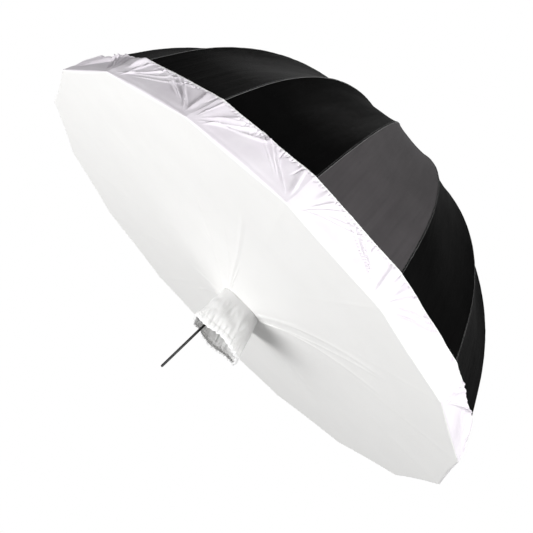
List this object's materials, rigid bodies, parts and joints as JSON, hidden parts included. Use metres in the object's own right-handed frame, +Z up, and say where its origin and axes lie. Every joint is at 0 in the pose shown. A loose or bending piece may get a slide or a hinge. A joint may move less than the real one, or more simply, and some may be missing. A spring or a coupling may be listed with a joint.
{
  "type": "umbrella reflector",
  "caption": "Deep folding umbrella reflector with a black canopy, spring-catch runner, clamp shaft and pull-off white front diffuser with a lamp sleeve.",
  "frame": {"origin": "on the shaft's axis, in the middle of the free stretch that a lamp bracket clamps", "axes": "+Y along the shaft towards the crown, so the mouth faces -Y; +Z up; rib 1 towards +X"},
  "size_m": [1.659, 1.03, 1.659],
  "materials": {
    "shaft_paint": "satin black stove enamel on steel tube",
    "black_plastic": "moulded black nylon",
    "ring_wire": "bright steel wire",
    "spring_steel": "bright spring steel",
    "rib_rod": "black fibreglass rod with bright metal fittings",
    "stretcher_paint": "black enamelled steel channel",
    "canopy_black": "coated black nylon outside, silver coating inside",
    "canopy_grey": "coated charcoal nylon outside, silver coating inside",
    "diffuser_white": "thin matte white polyester that lets light through",
    "elastic_white": "woven white elastic"
  },
  "bodies": {
    "shaft": {"shaft_tube": "shaft_paint", "shaft_end_cap": "black_plastic", "crown": "black_plastic", "crown_ring_wire": "ring_wire", "ferrule_cap": "black_plastic"},
    "runner": {"runner": "black_plastic", "runner_ring_wire": "ring_wire"},
    "catch": {"catch_spring": "spring_steel"},
    "diffuser": {"diffuser_face": "diffuser_white", "diffuser_band": "diffuser_white", "diffuser_sleeve": "diffuser_white", "hem_elastic": "elastic_white"},
    "rib_01": {"rib_01": "rib_rod", "canopy_panel_01": "canopy_grey"},
    "stretcher_01": {"stretcher_01": "stretcher_paint"},
    "rib_02": {"rib_02": "rib_rod", "canopy_panel_02": "canopy_black"},
    "stretcher_02": {"stretcher_02": "stretcher_paint"},
    "rib_03": {"rib_03": "rib_rod", "canopy_panel_03": "canopy_black"},
    "stretcher_03": {"stretcher_03": "stretcher_paint"},
    "rib_04": {"rib_04": "rib_rod", "canopy_panel_04": "canopy_black"},
    "stretcher_04": {"stretcher_04": "stretcher_paint"},
    "rib_05": {"rib_05": "rib_rod", "canopy_panel_05": "canopy_black"},
    "stretcher_05": {"stretcher_05": "stretcher_paint"},
    "rib_06": {"rib_06": "rib_rod", "canopy_panel_06": "canopy_black"},
    "stretcher_06": {"stretcher_06": "stretcher_paint"},
    "rib_07": {"rib_07": "rib_rod", "canopy_panel_07": "canopy_black"},
    "stretcher_07": {"stretcher_07": "stretcher_paint"},
    "rib_08": {"rib_08": "rib_rod", "canopy_panel_08": "canopy_black"},
    "stretcher_08": {"stretcher_08": "stretcher_paint"},
    "rib_09": {"rib_09": "rib_rod", "canopy_panel_09": "canopy_black"},
    "stretcher_09": {"stretcher_09": "stretcher_paint"},
    "rib_10": {"rib_10": "rib_rod", "canopy_panel_10": "canopy_black"},
    "stretcher_10": {"stretcher_10": "stretcher_paint"},
    "rib_11": {"rib_11": "rib_rod", "canopy_panel_11": "canopy_black"},
    "stretcher_11": {"stretcher_11": "stretcher_paint"},
    "rib_12": {"rib_12": "rib_rod", "canopy_panel_12": "canopy_black"},
    "stretcher_12": {"stretcher_12": "stretcher_paint"},
    "rib_13": {"rib_13": "rib_rod", "canopy_panel_13": "canopy_black"},
    "stretcher_13": {"stretcher_13": "stretcher_paint"},
    "rib_14": {"rib_14": "rib_rod", "canopy_panel_14": "canopy_black"},
    "stretcher_14": {"stretcher_14": "stretcher_paint"},
    "rib_15": {"rib_15": "rib_rod", "canopy_panel_15": "canopy_black"},
    "stretcher_15": {"stretcher_15": "stretcher_paint"},
    "rib_16": {"rib_16": "rib_rod", "canopy_panel_16": "canopy_black"},
    "stretcher_16": {"stretcher_16": "stretcher_paint"}
  },
  "joints": [
    {"name": "runner_slide", "type": "slide", "parent": "shaft", "child": "runner", "axis": [0, -1, 0], "range_m": [0, 0.3092], "deforming": ["canopy_panel_01", "canopy_panel_02", "canopy_panel_03", "canopy_panel_04", "canopy_panel_05", "canopy_panel_06", "canopy_panel_07", "canopy_panel_08", "canopy_panel_09", "canopy_panel_10", "canopy_panel_11", "canopy_panel_12", "canopy_panel_13", "canopy_panel_14", "canopy_panel_15", "canopy_panel_16", "diffuser_face", "diffuser_band", "diffuser_sleeve", "hem_elastic", "catch_spring"]},
    {"name": "rib_01_hinge", "type": "hinge", "parent": "shaft", "child": "rib_01", "pos_m": [0.015, 0.9205, 0], "axis": [0, 0, -1], "range_deg": [0, 50.54]},
    {"name": "stretcher_01_hinge", "type": "hinge", "parent": "runner", "child": "stretcher_01", "pos_m": [0.015, 0.5, 0], "axis": [0, 0, 1], "range_deg": [0, 25.79]},
    {"name": "rib_02_hinge", "type": "hinge", "parent": "shaft", "child": "rib_02", "pos_m": [0.01386, 0.9205, -0.00574], "axis": [-0.3827, 0, -0.9239], "range_deg": [0, 50.54]},
    {"name": "stretcher_02_hinge", "type": "hinge", "parent": "runner", "child": "stretcher_02", "pos_m": [0.01386, 0.5, -0.00574], "axis": [0.3827, 0, 0.9239], "range_deg": [0, 25.79]},
    {"name": "rib_03_hinge", "type": "hinge", "parent": "shaft", "child": "rib_03", "pos_m": [0.01061, 0.9205, -0.01061], "axis": [-0.7071, 0, -0.7071], "range_deg": [0, 50.54]},
    {"name": "stretcher_03_hinge", "type": "hinge", "parent": "runner", "child": "stretcher_03", "pos_m": [0.01061, 0.5, -0.01061], "axis": [0.7071, 0, 0.7071], "range_deg": [0, 25.79]},
    {"name": "rib_04_hinge", "type": "hinge", "parent": "shaft", "child": "rib_04", "pos_m": [0.00574, 0.9205, -0.01386], "axis": [-0.9239, 0, -0.3827], "range_deg": [0, 50.54]},
    {"name": "stretcher_04_hinge", "type": "hinge", "parent": "runner", "child": "stretcher_04", "pos_m": [0.00574, 0.5, -0.01386], "axis": [0.9239, 0, 0.3827], "range_deg": [0, 25.79]},
    {"name": "rib_05_hinge", "type": "hinge", "parent": "shaft", "child": "rib_05", "pos_m": [0, 0.9205, -0.015], "axis": [-1, 0, 0], "range_deg": [0, 50.54]},
    {"name": "stretcher_05_hinge", "type": "hinge", "parent": "runner", "child": "stretcher_05", "pos_m": [0, 0.5, -0.015], "axis": [1, 0, 0], "range_deg": [0, 25.79]},
    {"name": "rib_06_hinge", "type": "hinge", "parent": "shaft", "child": "rib_06", "pos_m": [-0.00574, 0.9205, -0.01386], "axis": [-0.9239, 0, 0.3827], "range_deg": [0, 50.54]},
    {"name": "stretcher_06_hinge", "type": "hinge", "parent": "runner", "child": "stretcher_06", "pos_m": [-0.00574, 0.5, -0.01386], "axis": [0.9239, 0, -0.3827], "range_deg": [0, 25.79]},
    {"name": "rib_07_hinge", "type": "hinge", "parent": "shaft", "child": "rib_07", "pos_m": [-0.01061, 0.9205, -0.01061], "axis": [-0.7071, 0, 0.7071], "range_deg": [0, 50.54]},
    {"name": "stretcher_07_hinge", "type": "hinge", "parent": "runner", "child": "stretcher_07", "pos_m": [-0.01061, 0.5, -0.01061], "axis": [0.7071, 0, -0.7071], "range_deg": [0, 25.79]},
    {"name": "rib_08_hinge", "type": "hinge", "parent": "shaft", "child": "rib_08", "pos_m": [-0.01386, 0.9205, -0.00574], "axis": [-0.3827, 0, 0.9239], "range_deg": [0, 50.54]},
    {"name": "stretcher_08_hinge", "type": "hinge", "parent": "runner", "child": "stretcher_08", "pos_m": [-0.01386, 0.5, -0.00574], "axis": [0.3827, 0, -0.9239], "range_deg": [0, 25.79]},
    {"name": "rib_09_hinge", "type": "hinge", "parent": "shaft", "child": "rib_09", "pos_m": [-0.015, 0.9205, 0], "axis": [0, 0, 1], "range_deg": [0, 50.54]},
    {"name": "stretcher_09_hinge", "type": "hinge", "parent": "runner", "child": "stretcher_09", "pos_m": [-0.015, 0.5, 0], "axis": [0, 0, -1], "range_deg": [0, 25.79]},
    {"name": "rib_10_hinge", "type": "hinge", "parent": "shaft", "child": "rib_10", "pos_m": [-0.01386, 0.9205, 0.00574], "axis": [0.3827, 0, 0.9239], "range_deg": [0, 50.54]},
    {"name": "stretcher_10_hinge", "type": "hinge", "parent": "runner", "child": "stretcher_10", "pos_m": [-0.01386, 0.5, 0.00574], "axis": [-0.3827, 0, -0.9239], "range_deg": [0, 25.79]},
    {"name": "rib_11_hinge", "type": "hinge", "parent": "shaft", "child": "rib_11", "pos_m": [-0.01061, 0.9205, 0.01061], "axis": [0.7071, 0, 0.7071], "range_deg": [0, 50.54]},
    {"name": "stretcher_11_hinge", "type": "hinge", "parent": "runner", "child": "stretcher_11", "pos_m": [-0.01061, 0.5, 0.01061], "axis": [-0.7071, 0, -0.7071], "range_deg": [0, 25.79]},
    {"name": "rib_12_hinge", "type": "hinge", "parent": "shaft", "child": "rib_12", "pos_m": [-0.00574, 0.9205, 0.01386], "axis": [0.9239, 0, 0.3827], "range_deg": [0, 50.54]},
    {"name": "stretcher_12_hinge", "type": "hinge", "parent": "runner", "child": "stretcher_12", "pos_m": [-0.00574, 0.5, 0.01386], "axis": [-0.9239, 0, -0.3827], "range_deg": [0, 25.79]},
    {"name": "rib_13_hinge", "type": "hinge", "parent": "shaft", "child": "rib_13", "pos_m": [0, 0.9205, 0.015], "axis": [1, 0, 0], "range_deg": [0, 50.54]},
    {"name": "stretcher_13_hinge", "type": "hinge", "parent": "runner", "child": "stretcher_13", "pos_m": [0, 0.5, 0.015], "axis": [-1, 0, 0], "range_deg": [0, 25.79]},
    {"name": "rib_14_hinge", "type": "hinge", "parent": "shaft", "child": "rib_14", "pos_m": [0.00574, 0.9205, 0.01386], "axis": [0.9239, 0, -0.3827], "range_deg": [0, 50.54]},
    {"name": "stretcher_14_hinge", "type": "hinge", "parent": "runner", "child": "stretcher_14", "pos_m": [0.00574, 0.5, 0.01386], "axis": [-0.9239, 0, 0.3827], "range_deg": [0, 25.79]},
    {"name": "rib_15_hinge", "type": "hinge", "parent": "shaft", "child": "rib_15", "pos_m": [0.01061, 0.9205, 0.01061], "axis": [0.7071, 0, -0.7071], "range_deg": [0, 50.54]},
    {"name": "stretcher_15_hinge", "type": "hinge", "parent": "runner", "child": "stretcher_15", "pos_m": [0.01061, 0.5, 0.01061], "axis": [-0.7071, 0, 0.7071], "range_deg": [0, 25.79]},
    {"name": "rib_16_hinge", "type": "hinge", "parent": "shaft", "child": "rib_16", "pos_m": [0.01386, 0.9205, 0.00574], "axis": [0.3827, 0, -0.9239], "range_deg": [0, 50.54]},
    {"name": "stretcher_16_hinge", "type": "hinge", "parent": "runner", "child": "stretcher_16", "pos_m": [0.01386, 0.5, 0.00574], "axis": [-0.3827, 0, 0.9239], "range_deg": [0, 25.79]},
    {"name": "catch_press", "type": "slide", "parent": "shaft", "child": "catch", "axis": [0, 0, -1], "range_m": [0, 0.0024], "stiffness_N_per_m": 600},
    {"name": "diffuser_pull_off", "type": "slide", "parent": "shaft", "child": "diffuser", "axis": [0, -1, 0], "range_m": [0, 0.5]}
  ],
  "couplings": [
    {"joint": "rib_01_hinge", "follows": "runner_slide", "rad_per_m": 2.8528},
    {"joint": "stretcher_01_hinge", "follows": "runner_slide", "rad_per_m": 1.4559},
    {"joint": "rib_02_hinge", "follows": "runner_slide", "rad_per_m": 2.8528},
    {"joint": "stretcher_02_hinge", "follows": "runner_slide", "rad_per_m": 1.4559},
    {"joint": "rib_03_hinge", "follows": "runner_slide", "rad_per_m": 2.8528},
    {"joint": "stretcher_03_hinge", "follows": "runner_slide", "rad_per_m": 1.4559},
    {"joint": "rib_04_hinge", "follows": "runner_slide", "rad_per_m": 2.8528},
    {"joint": "stretcher_04_hinge", "follows": "runner_slide", "rad_per_m": 1.4559},
    {"joint": "rib_05_hinge", "follows": "runner_slide", "rad_per_m": 2.8528},
    {"joint": "stretcher_05_hinge", "follows": "runner_slide", "rad_per_m": 1.4559},
    {"joint": "rib_06_hinge", "follows": "runner_slide", "rad_per_m": 2.8528},
    {"joint": "stretcher_06_hinge", "follows": "runner_slide", "rad_per_m": 1.4559},
    {"joint": "rib_07_hinge", "follows": "runner_slide", "rad_per_m": 2.8528},
    {"joint": "stretcher_07_hinge", "follows": "runner_slide", "rad_per_m": 1.4559},
    {"joint": "rib_08_hinge", "follows": "runner_slide", "rad_per_m": 2.8528},
    {"joint": "stretcher_08_hinge", "follows": "runner_slide", "rad_per_m": 1.4559},
    {"joint": "rib_09_hinge", "follows": "runner_slide", "rad_per_m": 2.8528},
    {"joint": "stretcher_09_hinge", "follows": "runner_slide", "rad_per_m": 1.4559},
    {"joint": "rib_10_hinge", "follows": "runner_slide", "rad_per_m": 2.8528},
    {"joint": "stretcher_10_hinge", "follows": "runner_slide", "rad_per_m": 1.4559},
    {"joint": "rib_11_hinge", "follows": "runner_slide", "rad_per_m": 2.8528},
    {"joint": "stretcher_11_hinge", "follows": "runner_slide", "rad_per_m": 1.4559},
    {"joint": "rib_12_hinge", "follows": "runner_slide", "rad_per_m": 2.8528},
    {"joint": "stretcher_12_hinge", "follows": "runner_slide", "rad_per_m": 1.4559},
    {"joint": "rib_13_hinge", "follows": "runner_slide", "rad_per_m": 2.8528},
    {"joint": "stretcher_13_hinge", "follows": "runner_slide", "rad_per_m": 1.4559},
    {"joint": "rib_14_hinge", "follows": "runner_slide", "rad_per_m": 2.8528},
    {"joint": "stretcher_14_hinge", "follows": "runner_slide", "rad_per_m": 1.4559},
    {"joint": "rib_15_hinge", "follows": "runner_slide", "rad_per_m": 2.8528},
    {"joint": "stretcher_15_hinge", "follows": "runner_slide", "rad_per_m": 1.4559},
    {"joint": "rib_16_hinge", "follows": "runner_slide", "rad_per_m": 2.8528},
    {"joint": "stretcher_16_hinge", "follows": "runner_slide", "rad_per_m": 1.4559}
  ]
}
